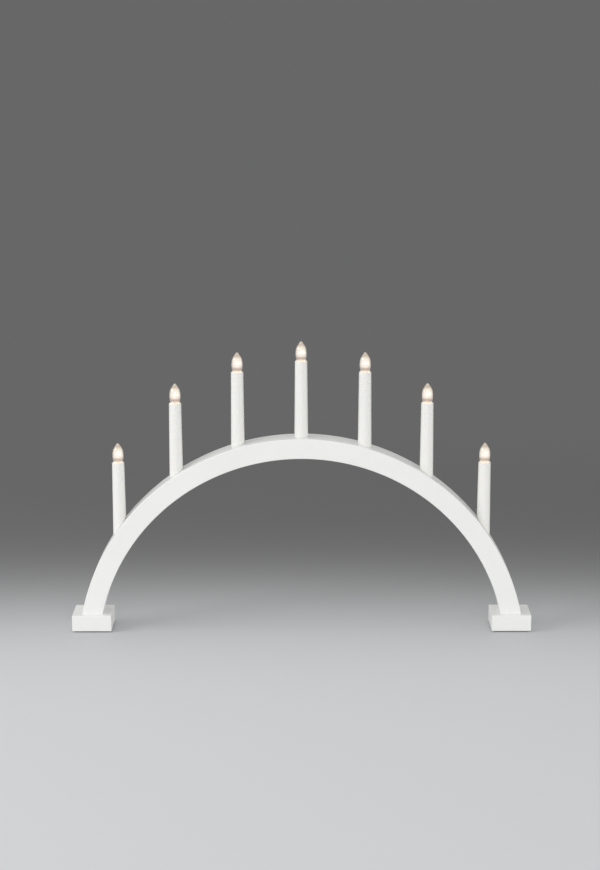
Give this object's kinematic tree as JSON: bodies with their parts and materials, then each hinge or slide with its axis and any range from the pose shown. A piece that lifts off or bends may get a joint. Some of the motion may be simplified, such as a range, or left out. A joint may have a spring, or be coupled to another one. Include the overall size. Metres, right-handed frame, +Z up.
{
  "type": "candle arch",
  "caption": "Bent wooden candle arch on two block feet, with upright electric candles whose bulbs screw out.",
  "frame": {"origin": "middle of the footprint, on the surface it stands on", "axes": "+X along the width to the right leg seen from the front, -Y out of the front face, +Z up"},
  "size_m": [0.55, 0.042, 0.3503],
  "materials": {
    "lacquered_wood": "white satin lacquer, faint grain",
    "cover_strip": "white satin",
    "sleeve_plastic": "white satin, slightly warm",
    "holder_plastic": "moulded, satin",
    "bushing_plastic": "moulded, satin",
    "brass": "pressed, bright",
    "lamp_cap": "rolled, bright",
    "lamp_glass": "clear",
    "filament": "lit filament on a glass stem",
    "insulator": "black fused glass with a tinned contact",
    "wire_insulation": "white insulation",
    "tinned_metal": "tinned",
    "screw_steel": "zinc plated",
    "felt": "pressed felt"
  },
  "bodies": {
    "stand": {"arch": "lacquered_wood", "channel_cover": "cover_strip", "foot_left": "lacquered_wood", "foot_right": "lacquered_wood", "foot_screws": "screw_steel", "foot_pads": "felt", "cord_bushing": "bushing_plastic", "lamp_wires": "wire_insulation", "wire_crimps": "tinned_metal", "centre_contacts": "brass", "candle_sleeve_1": "sleeve_plastic", "candle_sleeve_2": "sleeve_plastic", "candle_sleeve_3": "sleeve_plastic", "candle_sleeve_4": "sleeve_plastic", "candle_sleeve_5": "sleeve_plastic", "candle_sleeve_6": "sleeve_plastic", "candle_sleeve_7": "sleeve_plastic", "lampholder_1": "holder_plastic", "lampholder_2": "holder_plastic", "lampholder_3": "holder_plastic", "lampholder_4": "holder_plastic", "lampholder_5": "holder_plastic", "lampholder_6": "holder_plastic", "lampholder_7": "holder_plastic", "socket_shell_1": "brass", "socket_shell_2": "brass", "socket_shell_3": "brass", "socket_shell_4": "brass", "socket_shell_5": "brass", "socket_shell_6": "brass", "socket_shell_7": "brass"},
    "lift_1": {"bulb_1_tip": "insulator"},
    "bulb_1": {"bulb_1_cap": "lamp_cap", "bulb_1_glass": "lamp_glass", "bulb_1_filament": "filament"},
    "lift_2": {"bulb_2_tip": "insulator"},
    "bulb_2": {"bulb_2_cap": "lamp_cap", "bulb_2_glass": "lamp_glass", "bulb_2_filament": "filament"},
    "lift_3": {"bulb_3_tip": "insulator"},
    "bulb_3": {"bulb_3_cap": "lamp_cap", "bulb_3_glass": "lamp_glass", "bulb_3_filament": "filament"},
    "lift_4": {"bulb_4_tip": "insulator"},
    "bulb_4": {"bulb_4_cap": "lamp_cap", "bulb_4_glass": "lamp_glass", "bulb_4_filament": "filament"},
    "lift_5": {"bulb_5_tip": "insulator"},
    "bulb_5": {"bulb_5_cap": "lamp_cap", "bulb_5_glass": "lamp_glass", "bulb_5_filament": "filament"},
    "lift_6": {"bulb_6_tip": "insulator"},
    "bulb_6": {"bulb_6_cap": "lamp_cap", "bulb_6_glass": "lamp_glass", "bulb_6_filament": "filament"},
    "lift_7": {"bulb_7_tip": "insulator"},
    "bulb_7": {"bulb_7_cap": "lamp_cap", "bulb_7_glass": "lamp_glass", "bulb_7_filament": "filament"}
  },
  "joints": [
    {"name": "bulb_1_lift", "type": "slide", "parent": "stand", "child": "lift_1", "axis": [0, 0, 1], "range_m": [0, 0.00817]},
    {"name": "bulb_1_turn", "type": "hinge", "parent": "lift_1", "child": "bulb_1", "pos_m": [-0.21696, 0, 0], "axis": [0, 0, 1], "range_deg": [0, 1620]},
    {"name": "bulb_2_lift", "type": "slide", "parent": "stand", "child": "lift_2", "axis": [0, 0, 1], "range_m": [0, 0.00817]},
    {"name": "bulb_2_turn", "type": "hinge", "parent": "lift_2", "child": "bulb_2", "pos_m": [-0.14824, 0, 0], "axis": [0, 0, 1], "range_deg": [0, 1620]},
    {"name": "bulb_3_lift", "type": "slide", "parent": "stand", "child": "lift_3", "axis": [0, 0, 1], "range_m": [0, 0.00817]},
    {"name": "bulb_3_turn", "type": "hinge", "parent": "lift_3", "child": "bulb_3", "pos_m": [-0.07491, 0, 0], "axis": [0, 0, 1], "range_deg": [0, 1620]},
    {"name": "bulb_4_lift", "type": "slide", "parent": "stand", "child": "lift_4", "axis": [0, 0, 1], "range_m": [0, 0.00817]},
    {"name": "bulb_4_turn", "type": "hinge", "parent": "lift_4", "child": "bulb_4", "pos_m": [0, 0, 0], "axis": [0, 0, 1], "range_deg": [0, 1620]},
    {"name": "bulb_5_lift", "type": "slide", "parent": "stand", "child": "lift_5", "axis": [0, 0, 1], "range_m": [0, 0.00817]},
    {"name": "bulb_5_turn", "type": "hinge", "parent": "lift_5", "child": "bulb_5", "pos_m": [0.07491, 0, 0], "axis": [0, 0, 1], "range_deg": [0, 1620]},
    {"name": "bulb_6_lift", "type": "slide", "parent": "stand", "child": "lift_6", "axis": [0, 0, 1], "range_m": [0, 0.00817]},
    {"name": "bulb_6_turn", "type": "hinge", "parent": "lift_6", "child": "bulb_6", "pos_m": [0.14824, 0, 0], "axis": [0, 0, 1], "range_deg": [0, 1620]},
    {"name": "bulb_7_lift", "type": "slide", "parent": "stand", "child": "lift_7", "axis": [0, 0, 1], "range_m": [0, 0.00817]},
    {"name": "bulb_7_turn", "type": "hinge", "parent": "lift_7", "child": "bulb_7", "pos_m": [0.21696, 0, 0], "axis": [0, 0, 1], "range_deg": [0, 1620]}
  ],
  "couplings": [
    {"joint": "bulb_1_lift", "follows": "bulb_1_turn", "m_per_rad": 0.00028871},
    {"joint": "bulb_2_lift", "follows": "bulb_2_turn", "m_per_rad": 0.00028871},
    {"joint": "bulb_3_lift", "follows": "bulb_3_turn", "m_per_rad": 0.00028871},
    {"joint": "bulb_4_lift", "follows": "bulb_4_turn", "m_per_rad": 0.00028871},
    {"joint": "bulb_5_lift", "follows": "bulb_5_turn", "m_per_rad": 0.00028871},
    {"joint": "bulb_6_lift", "follows": "bulb_6_turn", "m_per_rad": 0.00028871},
    {"joint": "bulb_7_lift", "follows": "bulb_7_turn", "m_per_rad": 0.00028871}
  ]
}
